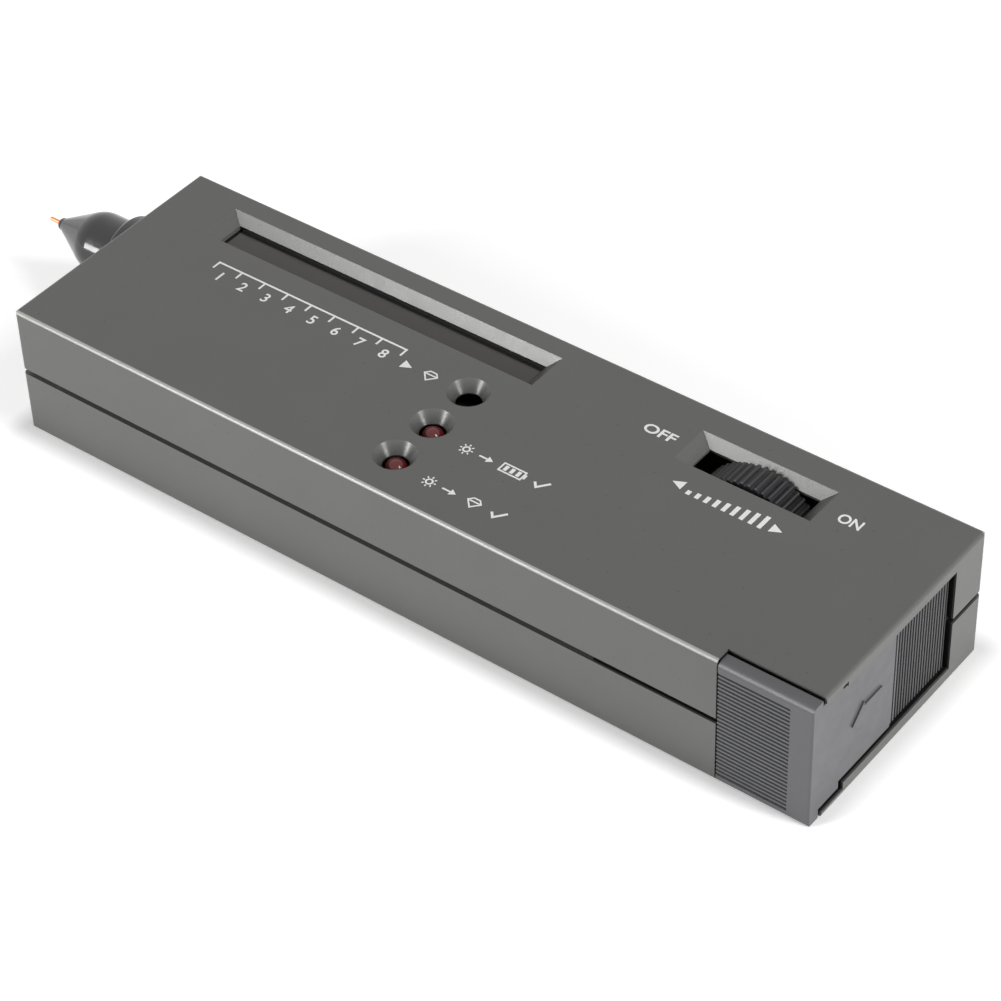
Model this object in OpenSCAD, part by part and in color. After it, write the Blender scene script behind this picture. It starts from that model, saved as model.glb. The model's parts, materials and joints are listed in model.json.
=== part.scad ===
// Handheld gem tester: a two-part case with a bar-graph window, two lamps,
// a thumbwheel switch, a sliding battery door and a sprung probe tip.
// Millimetres. X runs along the case from the probe to the battery door,
// the case is centred on Y and its underside lies at z = 0.

/* [Case] */
// Length of the case along X, without the probe
body_l = 158; // [142:0.5:180]
// Width of the case along Y
body_w = 46.8; // [42.2:0.1:54]
// Height of the case along Z
body_h = 25; // [22.6:0.1:30]
// Thickness of the side and end walls
wall = 2.2; // [1.9:0.1:2.5]
// Thickness of the top panel
top_t = 2.2; // [2.1:0.1:2.6]
// Thickness of the floor
floor_t = 2; // [1.6:0.1:2.3]
// Radius of the upright corners
corner_r = 0.8; // [0.6:0.1:1.9]
// Radius of the edge round the top panel
top_edge_r = 0.7; // [0.3:0.1:1.2]
// Radius of the edge round the floor
bottom_edge_r = 0.5; // [0.4:0.1:1.4]
// Height of the plane where the halves meet
parting_h = 12.4; // [12:0.1:13.2]
// Height of the shadow groove between the halves
reveal_h = 1.1; // [0.4:0.1:1.2]
// Thickness of the lip that locates the halves
lip_t = 1; // [0.7:0.1:1.2]
// Height of the lip above the groove
lip_h = 1; // [0.6:0.1:1.4]

/* [Display window] */
// Length of the bezel at the top panel
window_l = 69.7; // [66:0.1:74]
// Width of the bezel at the top panel
window_w = 8.25; // [7.8:0.05:9]
// Distance of the bezel from the probe end
window_from_end = 11.6; // [11.2:0.1:14]
// Distance of the bezel from the far side
window_from_side = 4.2; // [4:0.1:6]
// Depth of the sloping bezel
bezel_depth = 1.8; // [1.4:0.1:2]
// Width of the slope at the bezel's ends
bezel_end = 2.2; // [1.6:0.1:2.6]
// Width of the slope along the bezel's sides
bezel_side = 1.5; // [1.2:0.1:1.7]
// Depth of the lens below the top panel
lens_drop = 2.55; // [2.3:0.05:2.9]
// Thickness of the lens
lens_t = 1.5; // [1:0.1:1.8]
// Overlap of the lens behind the frame
lens_margin = 1.3; // [0.8:0.1:1.5]

/* [Lamps] */
// Diameter of a lamp
lamp_d = 4; // [3.5:0.1:4.1]
// Spacing of the sound hole and the lamps
lamp_pitch = 9.34; // [9:0.01:10]
// Shift of the lamp column from the middle between the window and the near side
lamp_shift = 0.565; // [-1:0.005:1]
// Distance of the lamp column from the window's end
lamp_from_window = 7.2; // [6:0.1:8]
// Depth of a lamp's tip below the top panel
lamp_sink = 1.2; // [0.9:0.1:1.6]
// Outer diameter of a countersink
csk_d = 7.2; // [6.4:0.1:8]
// Diameter of the hole in a countersink
csk_hole_d = 4.4; // [4.2:0.1:5]
// Depth of a countersink
csk_depth = 2; // [1.4:0.05:2.05]
// Diameter of the buzzer
buzzer_d = 12; // [10:0.1:12.6]
// Height of the buzzer
buzzer_h = 4; // [3:0.1:4.2]

/* [Volume wheel] */
// Length of the wheel's recess at the top panel
slot_l = 25.3; // [23:0.1:28]
// Shift of the wheel's recess towards the probe
slot_shift = 0.5; // [0:0.1:0.8]
// Depth of the recess's slope
slot_depth = 1.8; // [1.4:0.1:2]
// Width of the slope at the recess's ends
slot_end = 2.3; // [1.6:0.1:2.8]
// Width of the slope along the recess's far side
slot_side = 1.45; // [1.2:0.05:1.6]
// Width of the slope along the recess's near side
slot_near_side = 0.95; // [0.7:0.05:1.2]
// Gap between the wheel and the sides of its recess
slot_gap = 0.275; // [0.2:0.005:0.4]
// Distance of the wheel's axis from the door end
wheel_from_end = 35; // [33:0.1:38]
// Distance of the wheel's middle from the far side
wheel_from_side = 9.93; // [9.6:0.01:10.4]
// Width of the wheel
wheel_w = 5.1; // [4.6:0.1:5.6]
// Height of the wheel's rim above the top panel
wheel_proud = 0.1; // [0:0.05:0.5]
// Number of ribs round the wheel
rib_count = 54; // [44:1:62]
// Depth of the grooves between the ribs
rib_depth = 0.65; // [0.3:0.05:0.8]
// Bevel at the wheel's rims
rim_bevel = 0.2; // [0.1:0.1:0.6]
// Diameter of the control's body
pot_d = 16; // [14:0.1:16.6]
// Gap between the wheel and the control's body
control_gap = 0.73; // [0.4:0.01:1.2]
// Diameter of the control's shaft
shaft_d = 3; // [2.6:0.1:4]

/* [Battery] */
// Length of the battery's jacket
battery_l = 46.4; // [45:0.1:47]
// Width of the battery
battery_w = 26.5; // [25:0.1:27]
// Height of the battery
battery_h = 17.5; // [16.5:0.1:18]
// Spacing of the battery's studs
stud_pitch = 12.7; // [12:0.1:13.2]
// Length of the studs
stud_l = 2.1; // [1.6:0.1:2.4]
// Thickness of the snap connector
snap_t = 3.4; // [3:0.1:4]

/* [Battery door] */
// Length of the door along the near side
door_l = 17; // [15:0.1:20]
// Thickness of the door's near wall
door_wall = 2.45; // [2.2:0.05:2.8]
// Drop of the door's edge below the top panel
door_drop = 0.5; // [0.4:0.1:1]
// Reach of the door across the end
door_reach = 37.2; // [34:0.1:38.4]
// Width of the tall part of the door's end face
door_step = 7.8; // [6:0.1:10]
// Thickness of the rail behind the end face
rail_t = 1.3; // [1:0.1:1.6]
// Height of a rail above the tongue's edge
rail_h = 0.8; // [0.5:0.1:1]
// Pitch of the grip ridges on the near wall
grip_pitch = 0.81; // [0.75:0.01:1.2]
// Pitch of the grip ridges on the end face
end_grip_pitch = 0.77; // [0.7:0.01:1.4]
// Depth of the grooves between the grip ridges
grip_depth = 0.4; // [0.3:0.05:0.6]
// Share of the pitch taken by a ridge's crest
grip_crest = 0.48; // [0.4:0.02:0.6]

/* [Probe] */
// Reach of the probe tip beyond the case
probe_reach = 25.3; // [25:0.1:27]
// Distance of the probe's axis from the far side
probe_from_side = 13; // [12.8:0.1:15]
// Diameter of the contact pin
pin_d = 0.7; // [0.5:0.05:1]
// Length of the pin that stands out of the nose
pin_out = 2.2; // [2:0.1:3.2]
// Travel of the sprung pin
pin_travel = 1.5; // [0.8:0.1:1.8]
// Length of the nose's cone
nose_cone_l = 9.3; // [8:0.1:9.8]
// Diameter of the nose behind its cone
nose_d = 11.3; // [10.2:0.1:11.4]
// Radius of the collar
collar_r = 7.6; // [7.2:0.1:8.4]
// Length of the collar
collar_l = 6.6; // [5.4:0.1:7]
// Radius of the collar's front edge
collar_edge_r = 0.9; // [0.4:0.1:1.2]
// Wire of the tip's spring
spring_wire = 0.36; // [0.3:0.02:0.4]
// Turns of the tip's spring
spring_turns = 5; // [4:1:5]

/* [Circuit board] */
// Thickness of the board
board_t = 1.6; // [1:0.1:1.8]
// Depth of the board's upper face below the top panel's face
board_drop = 9; // [8.7:0.1:9.6]
// Pitch of the bar-graph lamps
led_pitch = 5.08; // [4.6:0.01:5.3]
// Width of a bar-graph lamp
led_w = 2; // [1.6:0.1:2.4]
// Length of a bar-graph lamp
led_l = 5; // [4.4:0.1:5.2]

/* [Screws] */
// Diameter of a case screw's thread
screw_d = 2.6; // [2.2:0.1:2.8]
// Length of a case screw's thread
screw_l = 11; // [9:0.5:12]
// Depth of a case screw's counterbore
screw_cbore = 7; // [6:0.5:8]
// Diameter of a board screw's thread
board_screw_d = 2; // [1.7:0.1:2.2]

/* [Hidden] */
$fn = 64;

// Clearances and small allowances
fit = 0.05;
gap = 0.3;
over = 1;
sink = 0.5;

// Edges and faces of the case
x_probe = -body_l / 2;
x_door = body_l / 2;
y_near = -body_w / 2;
y_far = body_w / 2;
z_under = body_h - top_t;
z_upper = parting_h + reveal_h / 2;
z_lower = parting_h - reveal_h / 2;

// Window, lens and bar-graph lamps
window_x = x_probe + window_from_end + window_l / 2;
window_y = y_far - window_from_side - window_w / 2;
window_x0 = window_x - window_l / 2;
window_x1 = window_x + window_l / 2;
view_l = window_l - 2 * bezel_end;
view_w = window_w - 2 * bezel_side;
frame_rim = 1.2;
lens_l = view_l + 2 * lens_margin;
lens_w = view_w + 2 * lens_margin;
z_lens = body_h - lens_drop;
scale_inset = 7.2;
scale_x = window_x0 + scale_inset;
led_room = window_x1 - bezel_end - scale_x;
led_count = floor((led_room + led_pitch / 2 - led_w / 2) / led_pitch);
led_foot_h = 0.8;
led_foot = 0.3;

// Lamp column
lamp_x = window_x1 - lamp_from_window;
lamp_y = (window_y - window_w / 2 + y_near) / 2 + lamp_shift + lamp_pitch;
lamp_foot_h = 1;
lamp_foot = 0.4;
lamp_body_h = 5;
lead_r = 0.25;
lead_pitch = 1.6;

// Wheel, shaft and control body
wheel_r = (body_h + wheel_proud - floor_t - 2 * gap) / 2;
wheel_x = x_door - wheel_from_end;
wheel_y = y_far - wheel_from_side;
wheel_z = body_h + wheel_proud - wheel_r;
control_y = wheel_y + wheel_w / 2 + control_gap;
pot_t = y_far - wall - gap - control_y;
slot_w = wheel_w + 2 * slot_gap + slot_side + slot_near_side;
slot_x = wheel_x - slot_shift;
slot_y = wheel_y + (slot_side - slot_near_side) / 2;
control_wall = 0.5;
seat_l = 5;
shaft_r = shaft_d / 2;
wheel_screw_r = 0.8;
wheel_screw_l = 3.6;
wheel_head_r = 2.2;
wheel_head_h = 0.9;
lug_l = 2;
lug_x = wheel_x - pot_d / 2 - lug_l;
lug_t = 0.5;
lug_w = 1.2;
lug_y = control_y + 0.65 * pot_t;
lug_pitch = 2.2;
lug_inset = 1.2;
lug_low = wheel_z - pot_d / 2 + lug_inset;

// Battery bay and door
door_x = x_door - door_l;
door_t = wall;
rail_x = x_door - door_t - rail_t;
battery_x = rail_x - gap - battery_l;
battery_y = y_near + door_wall + gap;
battery_mid = battery_y + battery_w / 2;
stud_z = floor_t + battery_h / 2;
male_r = 2.85;
female_r = 3.9;
snap_x = battery_x - gap - snap_t;
snap_w = 25;
snap_h = 12.5;
bay_wall = 1.5;
bay_x = snap_x - gap - bay_wall;
bay_y = battery_y + battery_w + gap;
bay_drop = 1;
bay_h = z_upper - bay_drop;
side_drop = 2.5;
side_h = floor_t + battery_h - side_drop;
snap_lead_drop = 3;
snap_lead_z = stud_z - snap_lead_drop;
lip_gap = 0.5;
end_gap = 1.3;
under_gap = 0.95;
step_gap = 0.9;
slide_gap = 0.15;
free_gap = 0.2;
tongue_z0 = floor_t + 1.35;
tongue_z1 = z_under - 0.2;
step_z0 = 1.9;
step_z1 = tongue_z1 + 0.9;
door_z0 = 0;
door_z1 = body_h - door_drop;
door_edge_r = 1.1;
tongue_y = y_near + door_reach;
step_y = y_near + door_step;
grip_x = x_door - 4.3;
grip_z0 = 1.2;
grip_z1 = door_z1 - 1.75;
grip_sink = 0.08;
end_grip_y = tongue_y - 15.35;
end_grip_sink = 0.25;
arrow_tip = y_near + 10.6;
arrow_head = 3;
arrow_half = 3.1;
arrow_shaft = 8;
shaft_half = 2.25;
arrow_h = 0.3;
door_face = x_door - arrow_h;

// Probe, measured along its axis from the tip of the pin
tip_x = x_probe - probe_reach;
probe_y = y_far - probe_from_side;
nose_tip_r = 1.2;
shoulder_r = 6;
shoulder_steps = 6;
cone_end = pin_out + nose_cone_l;
nose_r = nose_d / 2;
nose_slope = atan2(nose_r - nose_tip_r, nose_cone_l - nose_tip_r);
shoulder_s = cone_end + shoulder_r * tan(nose_slope / 2);
collar_front = probe_reach - collar_l;
neck_step = 0.8;
neck_r = nose_r - neck_step;
flange_rim = 0.5;
flange_r = neck_r + flange_rim;
flange_l = 5;
neck_end = probe_reach + wall;
nose_end = neck_end + fit + flange_l;
guide_r = pin_d / 2 + fit;
plunger_r = 1.6;
chamber_r = plunger_r + 0.1;
plunger_s = cone_end + 0.2;
plunger_l = 2;
tail_r = 0.75;
spring_s = plunger_s + plunger_l;
spring_l = 5.6;
carrier_s = spring_s + spring_l;
carrier_r = 3.1;
carrier_l = nose_end + 5 - carrier_s;
tail_l = spring_l - 1;
tail_hole_l = pin_travel + 1;
heater_r = 1.2;
heater_l = 6;
carrier_end = carrier_s + carrier_l;
coil_r = tail_r + 0.3 + spring_wire / 2;

// Circuit board, measured from the case's faces and the window
board_z = body_h - board_drop;
board_inset = 8.4;
board_x0 = window_x0 + board_inset;
board_bay_gap = 2;
board_x1 = bay_x - board_bay_gap;
board_rim = 1.2;
board_y0 = lamp_y - 2 * lamp_pitch - board_rim;
board_side_gap = 0.9;
board_y1 = y_far - wall - board_side_gap;
board_corner = 1.5;
board_boss_r = 2.4;
board_screw_r = board_screw_d / 2;
board_screw_l = 6;
board_head_r = 1.9;
board_head_h = 1.3;
chip_row = 10.2;
chip_y = window_y - chip_row;
screw_left = 5;
screw_right = 5.4;
screw_near = 3.1;
board_points = [
  [board_x0 + screw_left, board_y0 + screw_near], [board_x0 + screw_left, chip_y],
  [board_x1 - screw_right, board_y0 + screw_near]
];

// Places of the parts on the board, from its corner and from the lamps
upper_chip_x = 20.5;
lower_chip_x = 33;
lower_chip_y = 7.6;
chip_pins = 18;
resistor_x = 9.3;
resistor_y = 3.9;
capacitor_x = 36;
capacitor_lamp = 6.8;
transistor_x = 3.5;
transistor_y = 11.5;
upper_chip = [board_x0 + upper_chip_x, chip_y];
lower_chip = [board_x0 + lower_chip_x, board_y0 + lower_chip_y];
resistor_row = [board_x0 + resistor_x, board_y0 + resistor_y];
capacitor_points = [[board_x0 + capacitor_x, chip_y], [lamp_x + capacitor_lamp, lamp_y - lamp_pitch]];
transistor_point = [board_x0 + transistor_x, board_y0 + transistor_y];

// Case screws, from the floor into the upper half
boss_r = 3.2;
boss_inset = 1.7;
boss_near_end = 4.8;
boss_far_end = 3.4;
boss_rail = 4.4;
screw_r = screw_d / 2;
screw_head_r = 2.2;
screw_head_h = 1.6;
screw_free = 0.2;
screw_points = [
  [x_probe + wall + boss_near_end, y_near + wall + boss_inset],
  [x_probe + wall + boss_far_end, y_far - wall - boss_inset],
  [bay_x - boss_r + sink, y_near + wall + boss_inset],
  [rail_x - boss_rail, y_far - wall - boss_inset]
];
recess_w = 0.6;
recess_l = 2.4;
recess_d = 0.8;

// Leads
wire_r = 0.5;
bend_r = 1.1;
snap_lead_end = 1.8;
control_lead_end = 7;
probe_lead_end = 3;
probe_lead_drop = 2.2;

case_grey = [0.36, 0.36, 0.35];
door_grey = [0.40, 0.40, 0.40];
gloss_black = [0.05, 0.05, 0.055];
wheel_grey = [0.16, 0.16, 0.165];
smoke = [0.16, 0.13, 0.12];
lamp_red = [0.5, 0.03, 0.04];
copper = [0.8, 0.45, 0.28];
steel = [0.7, 0.7, 0.72];
board_green = [0.1, 0.32, 0.18];

// The model's origin lies under the middle of its whole length
module placed() {
  translate([probe_reach / 2, 0, 0]) children();
}

// Flat shapes

module round_rect(l, w, r) {
  square([l, w - 2 * r], center = true);
  square([l - 2 * r, w], center = true);
  for (x = [-1, 1], y = [-1, 1])
    translate([x * (l / 2 - r), y * (w / 2 - r)])
      circle(r);
}

// Upright section of the case, rounded along the floor and the top panel
module edge_profile(w) {
  translate([-w / 2, bottom_edge_r])
    square([w, body_h - top_edge_r - bottom_edge_r]);
  translate([-w / 2 + bottom_edge_r, 0])
    square([w - 2 * bottom_edge_r, 2 * bottom_edge_r]);
  translate([-w / 2 + top_edge_r, body_h - 2 * top_edge_r])
    square([w - 2 * top_edge_r, 2 * top_edge_r]);
  for (side = [-1, 1]) {
    translate([side * (w / 2 - bottom_edge_r), bottom_edge_r])
      circle(bottom_edge_r);
    translate([side * (w / 2 - top_edge_r), body_h - top_edge_r])
      circle(top_edge_r);
  }
}

// Section of a recess that narrows downwards from the top panel
module taper_profile(w, slope0, slope1, depth) {
  rise = over / depth;
  polygon([
    [-w / 2 - slope0 * rise, over], [w / 2 + slope1 * rise, over],
    [w / 2 - slope1, -depth], [-w / 2 + slope0, -depth]
  ]);
}

// Row of ridges with sloping grooves, cut from a face at y = 0 that looks along -Y
module ridge_profile(length, pitch) {
  count = round(length / pitch);
  step = length / count;
  groove = 1 - grip_crest;
  flank = groove / 4;
  places = [0, flank, groove - flank, groove];
  depths = [0, grip_depth, grip_depth, 0];
  polygon(concat(
    [[0, -over]],
    [for (i = [0 : count - 1], k = [0 : 3]) [step * (i + places[k]), depths[k]]],
    [[length, 0], [length, -over]]
  ));
}

// Blocks and recesses

module body_form() {
  intersection() {
    linear_extrude(body_h)
      round_rect(body_l, body_w, corner_r);
    translate([0, body_w / 2, 0])
      rotate([90, 0, 0])
        linear_extrude(body_w)
          edge_profile(body_l);
    translate([-body_l / 2, 0, 0])
      rotate([90, 0, 90])
        linear_extrude(body_l)
          edge_profile(body_w);
  }
}

module box(x0, x1, y0, y1, z0, z1) {
  translate([x0, y0, z0])
    cube([x1 - x0, y1 - y0, z1 - z0]);
}

// Space inside the walls, widened by grow
module hollow(grow, z0, z1) {
  x1 = x_door - wall + grow;
  y1 = y_far - wall + grow;
  box(-x1, x1, -y1, y1, z0, z1);
}

module taper_recess(l, w, end, near, far, depth) {
  intersection() {
    rotate([90, 0, 0])
      linear_extrude(2 * w, center = true)
        taper_profile(l, end, end, depth);
    rotate([90, 0, 90])
      linear_extrude(2 * l, center = true)
        taper_profile(w, near, far, depth);
  }
}

module countersink() {
  spread = (csk_d - csk_hole_d) / csk_depth * sink;
  translate([0, 0, -csk_depth])
    cylinder(h = csk_depth + sink, d1 = csk_hole_d, d2 = csk_d + spread);
  translate([0, 0, -top_t - over])
    cylinder(h = top_t + over, d = csk_hole_d);
}

// Room for the battery door and for its way out along -Y
module door_space() {
  box(door_x - free_gap, x_door + over, y_near - over, y_near + door_wall + lip_gap, -over, body_h + over);
  box(x_door - door_t - fit, x_door + over, y_near - over, step_y + step_gap,
    step_z0 - under_gap, step_z1 + free_gap);
  box(x_door - door_t - fit, x_door + over, y_near - over, tongue_y + end_gap,
    tongue_z0 - under_gap, tongue_z1 + slide_gap);
  box(rail_x - free_gap, x_door - door_t + slide_gap, y_near - over, tongue_y + end_gap,
    floor_t, tongue_z1 + rail_h + free_gap);
}

// Split hole round the probe's neck, with room behind the wall for its flange
module probe_hole() {
  probe_axis() {
    translate([0, 0, probe_reach - over])
      cylinder(h = wall + 2 * over, r = neck_r + fit);
    translate([0, 0, neck_end + fit])
      cylinder(h = flange_l + over, r = flange_r + gap);
  }
}

// Room for the wheel and the head of its screw
module wheel_space() {
  wheel_axis()
    translate([0, 0, wheel_y - wheel_w / 2 - wheel_head_h - gap])
      cylinder(h = wheel_head_h + wheel_w + 2 * gap, r = wheel_r + gap / 2);
}

// Frame whose Z runs along the probe from the tip into the case
module probe_axis() {
  translate([tip_x, probe_y, parting_h])
    rotate([0, 90, 0])
      children();
}

// Frame whose Z runs along the wheel's shaft from the near side to the far side
module wheel_axis() {
  translate([wheel_x, 0, wheel_z])
    rotate([-90, 0, 0])
      children();
}

module at_each(points) {
  for (p = points)
    translate([p[0], p[1], 0])
      children();
}

// Lead that runs along X at z = 0 towards -X and then turns up to height rise
module turned_lead(run, rise) {
  rotate([0, -90, 0])
    cylinder(h = run - bend_r, r = wire_r);
  translate([-run + bend_r, 0, bend_r])
    rotate([90, 0, 0])
      rotate([0, 0, 180])
        rotate_extrude(angle = 90)
          translate([bend_r, 0])
            circle(wire_r);
  translate([-run, 0, bend_r])
    cylinder(h = rise - bend_r, r = wire_r);
}

// Case

module upper_case() {
  color(case_grey) placed() difference() {
    union() {
      difference() {
        intersection() {
          body_form();
          box(2 * x_probe, 2 * x_door, 2 * y_near, 2 * y_far, z_upper, body_h + over);
        }
        hollow(0, 0, z_under);
        hollow(lip_t + fit, 0, z_upper + lip_h + fit);
      }
      translate([window_x, window_y, z_lens - lens_t])
        linear_extrude(lens_drop + lens_t - top_t + sink)
          square([lens_l + 2 * frame_rim, lens_w + 2 * frame_rim], center = true);
      at_each(screw_points)
        translate([0, 0, z_upper])
          cylinder(h = z_under - z_upper + sink, r = boss_r);
      at_each(board_points)
        translate([0, 0, board_z])
          cylinder(h = z_under - board_z + sink, r = board_boss_r);
      box(wheel_x - seat_l / 2, wheel_x + seat_l / 2,
          control_y + control_wall, control_y + pot_t - control_wall,
          wheel_z + pot_d / 4, z_under + sink);
    }
    translate([window_x, window_y, body_h]) {
      taper_recess(window_l, window_w, bezel_end, bezel_side, bezel_side, bezel_depth);
      translate([-view_l / 2, -view_w / 2, -lens_drop - sink])
        cube([view_l, view_w, lens_drop + sink - bezel_depth / 2]);
    }
    translate([window_x, window_y, z_lens - lens_t - over])
      linear_extrude(lens_t + over)
        square([lens_l + 2 * fit, lens_w + 2 * fit], center = true);
    for (i = [0 : 2])
      translate([lamp_x, lamp_y - i * lamp_pitch, body_h])
        countersink();
    translate([slot_x, slot_y, body_h]) {
      taper_recess(slot_l, slot_w, slot_end, slot_near_side, slot_side, slot_depth);
      translate([-slot_l / 2 + slot_end, -slot_w / 2 + slot_near_side, -top_t - over])
        cube([slot_l - 2 * slot_end, wheel_w + 2 * slot_gap, top_t + over - slot_depth / 2]);
    }
    at_each(screw_points)
      translate([0, 0, z_upper - over])
        cylinder(h = screw_cbore + screw_l - z_upper + 2 * over, r = screw_r + fit);
    at_each(board_points)
      translate([0, 0, board_z - over])
        cylinder(h = board_screw_l - board_t + 1.5 * over, r = board_screw_r + fit);
    wheel_axis()
      translate([0, 0, control_y - over])
        cylinder(h = pot_t + 2 * over, d = pot_d + 2 * fit);
    door_space();
    probe_hole();
  }
}

module lower_case() {
  color(case_grey) placed() difference() {
    union() {
      difference() {
        intersection() {
          body_form();
          box(2 * x_probe, 2 * x_door, 2 * y_near, 2 * y_far, -over, z_lower);
        }
        hollow(0, floor_t, body_h);
      }
      difference() {
        hollow(lip_t, z_lower - lip_h, z_upper + lip_h);
        hollow(0, 0, body_h);
        at_each(screw_points)
          translate([0, 0, z_upper])
            cylinder(h = 2 * lip_h, r = boss_r + fit);
      }
      at_each(screw_points)
        translate([0, 0, floor_t - sink])
          cylinder(h = z_upper - floor_t + sink, r = boss_r);
      box(bay_x, bay_x + bay_wall, y_near + wall - sink, bay_y + bay_wall, floor_t - sink, bay_h);
      box(bay_x, rail_x - 2 * gap, bay_y, bay_y + bay_wall, floor_t - sink, side_h);
      box(wheel_x - seat_l / 2, wheel_x + seat_l / 2,
          control_y + control_wall, control_y + pot_t - control_wall,
          floor_t - sink, wheel_z - pot_d / 4);
      box(x_door - wall, x_door - bottom_edge_r, y_near + wall, y_far - wall, floor_t - sink, tongue_z0);
    }
    at_each(screw_points) {
      translate([0, 0, -over])
        cylinder(h = screw_cbore + over, r = screw_head_r + gap);
      cylinder(h = body_h, r = screw_r + screw_free);
    }
    for (side = [-1, 1])
      box(bay_x - over, bay_x + bay_wall + over, battery_mid + side * male_r - wire_r - gap,
        battery_mid + side * male_r + wire_r + gap, snap_lead_z - wire_r - gap, body_h);
    wheel_space();
    wheel_axis()
      translate([0, 0, control_y - over])
        cylinder(h = pot_t + 2 * over, d = pot_d + 2 * fit);
    door_space();
    probe_hole();
  }
}

// Battery door

// Near wall of the door, with its upper edge rounded
module door_near_wall() {
  y_inner = y_near + door_wall;
  translate([door_x, 0, 0])
    rotate([90, 0, 90])
      linear_extrude(door_face - door_x) {
        translate([y_near, door_z0])
          square([door_wall, door_z1 - door_z0 - door_edge_r]);
        translate([y_near + door_edge_r, door_z0])
          square([y_inner - y_near - door_edge_r, door_z1 - door_z0]);
        translate([y_near + door_edge_r, door_z1 - door_edge_r])
          circle(door_edge_r);
      }
}

// Raised arrow that shows which way the door slides, level with the case's end
module door_arrow() {
  translate([door_face - sink, 0, body_h / 2])
    rotate([90, 0, 90])
      linear_extrude(sink + arrow_h)
        polygon([
          [arrow_tip, 0], [arrow_tip + arrow_head, arrow_half],
          [arrow_tip + arrow_head, shaft_half], [arrow_tip + arrow_shaft, shaft_half],
          [arrow_tip + arrow_shaft, -shaft_half], [arrow_tip + arrow_head, -shaft_half],
          [arrow_tip + arrow_head, -arrow_half]
        ]);
}

module battery_door() {
  color(door_grey) placed() difference() {
    union() {
      intersection() {
        body_form();
        union() {
          door_near_wall();
          box(x_door - door_t, door_face, y_near, step_y, step_z0, step_z1);
          box(x_door - door_t, door_face, step_y - sink, tongue_y, tongue_z0, tongue_z1);
        }
      }
      box(rail_x, x_door - door_t + sink, y_near + door_wall - sink, tongue_y, tongue_z0, tongue_z1);
      box(rail_x, x_door - door_t, step_y - sink, tongue_y, floor_t + slide_gap, tongue_z1 + rail_h);
      door_arrow();
    }
    translate([door_x - over, y_near + grip_sink, grip_z0])
      rotate([90, 0, 90])
        linear_extrude(grip_x - door_x + over)
          rotate([0, 0, 90]) mirror([0, 1])
            ridge_profile(grip_z1 - grip_z0, grip_pitch);
    translate([door_face - end_grip_sink, end_grip_y, tongue_z0 - over])
      linear_extrude(tongue_z1 - tongue_z0 + 2 * over)
        rotate([0, 0, 90])
          ridge_profile(tongue_y - end_grip_y + over, end_grip_pitch);
  }
}

// Display and lamps

module display_window() {
  color(smoke) placed()
    translate([window_x, window_y, z_lens - lens_t])
      linear_extrude(lens_t)
        round_rect(lens_l, lens_w, lens_margin / 2);
}

module bar_leds() {
  led_h = z_lens - lens_t - gap - board_z;
  color(lamp_red) placed()
    for (i = [0 : led_count - 1])
      translate([scale_x + (i + 0.5) * led_pitch, window_y, board_z]) {
        translate([-led_w / 2, -led_l / 2, 0])
          cube([led_w, led_l, led_h]);
        translate([-led_w / 2 - led_foot, -led_l / 2 - led_foot, 0])
          cube([led_w + 2 * led_foot, led_l + 2 * led_foot, led_foot_h]);
      }
}

// Domed lamp with its foot and its two leads
module lamp(index) {
  r = lamp_d / 2;
  foot_z = body_h - lamp_sink - lamp_body_h;
  color(lamp_red) placed()
    translate([lamp_x, lamp_y - index * lamp_pitch, 0]) {
      translate([0, 0, foot_z])
        cylinder(h = lamp_foot_h, r = r + lamp_foot);
      translate([0, 0, foot_z])
        cylinder(h = lamp_body_h - r, r = r);
      translate([0, 0, foot_z + lamp_body_h - r])
        sphere(r);
      for (side = [-1, 1])
        translate([side * lead_pitch / 2, 0, board_z])
          cylinder(h = foot_z - board_z + lamp_foot_h / 2, r = lead_r);
    }
}

module battery_lamp() {
  lamp(1);
}

module ready_lamp() {
  lamp(2);
}

module buzzer() {
  rim = 0.8;
  port_d = 2.4;
  color(gloss_black) placed()
    translate([lamp_x, lamp_y, board_z])
      difference() {
        union() {
          cylinder(h = buzzer_h - rim, d = buzzer_d);
          translate([0, 0, buzzer_h - rim])
            cylinder(h = rim, d1 = buzzer_d, d2 = buzzer_d - 2 * rim);
        }
        translate([0, 0, buzzer_h - rim])
          cylinder(h = rim + over, d = port_d);
      }
}

// Circuit board

module main_board() {
  l = board_x1 - board_x0;
  w = board_y1 - board_y0;
  color(board_green) placed() difference() {
    translate([board_x0 + l / 2, board_y0 + w / 2, board_z - board_t])
      linear_extrude(board_t)
        round_rect(l, w, board_corner);
    at_each(board_points)
      translate([0, 0, board_z - board_t - over])
        cylinder(h = board_t + 2 * over, r = board_screw_r + screw_free);
    at_each(screw_points)
      translate([0, 0, board_z - board_t - over])
        cylinder(h = board_t + 2 * over, r = boss_r + gap);
  }
}

// Dual in-line chip lying along X on the board
module chip(pins) {
  pitch = 2.54;
  body_width = 6.4;
  body_top = 3.8;
  foot = 0.5;
  pin_w = 0.5;
  pin_reach = 0.8;
  l = pins / 2 * pitch;
  difference() {
    translate([-l / 2, -body_width / 2, foot])
      cube([l, body_width, body_top - foot]);
    translate([-l / 2, 0, body_top - foot])
      cylinder(h = over, r = 1);
  }
  for (i = [0 : pins / 2 - 1], side = [-1, 1])
    translate([(i + 0.5) * pitch - l / 2, side * (body_width / 2 + pin_reach / 2), 0]) {
      translate([-pin_w / 2, -pin_w / 2, 0])
        cube([pin_w, pin_w, body_top / 2]);
      translate([-pin_w / 2, -pin_reach / 2 - sink / 2, body_top / 2 - pin_w])
        cube([pin_w, pin_reach + sink, pin_w]);
    }
}

module driver_chips() {
  color([0.07, 0.07, 0.07]) placed()
    at_each([upper_chip, lower_chip])
      translate([0, 0, board_z])
        chip(chip_pins);
}

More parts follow.
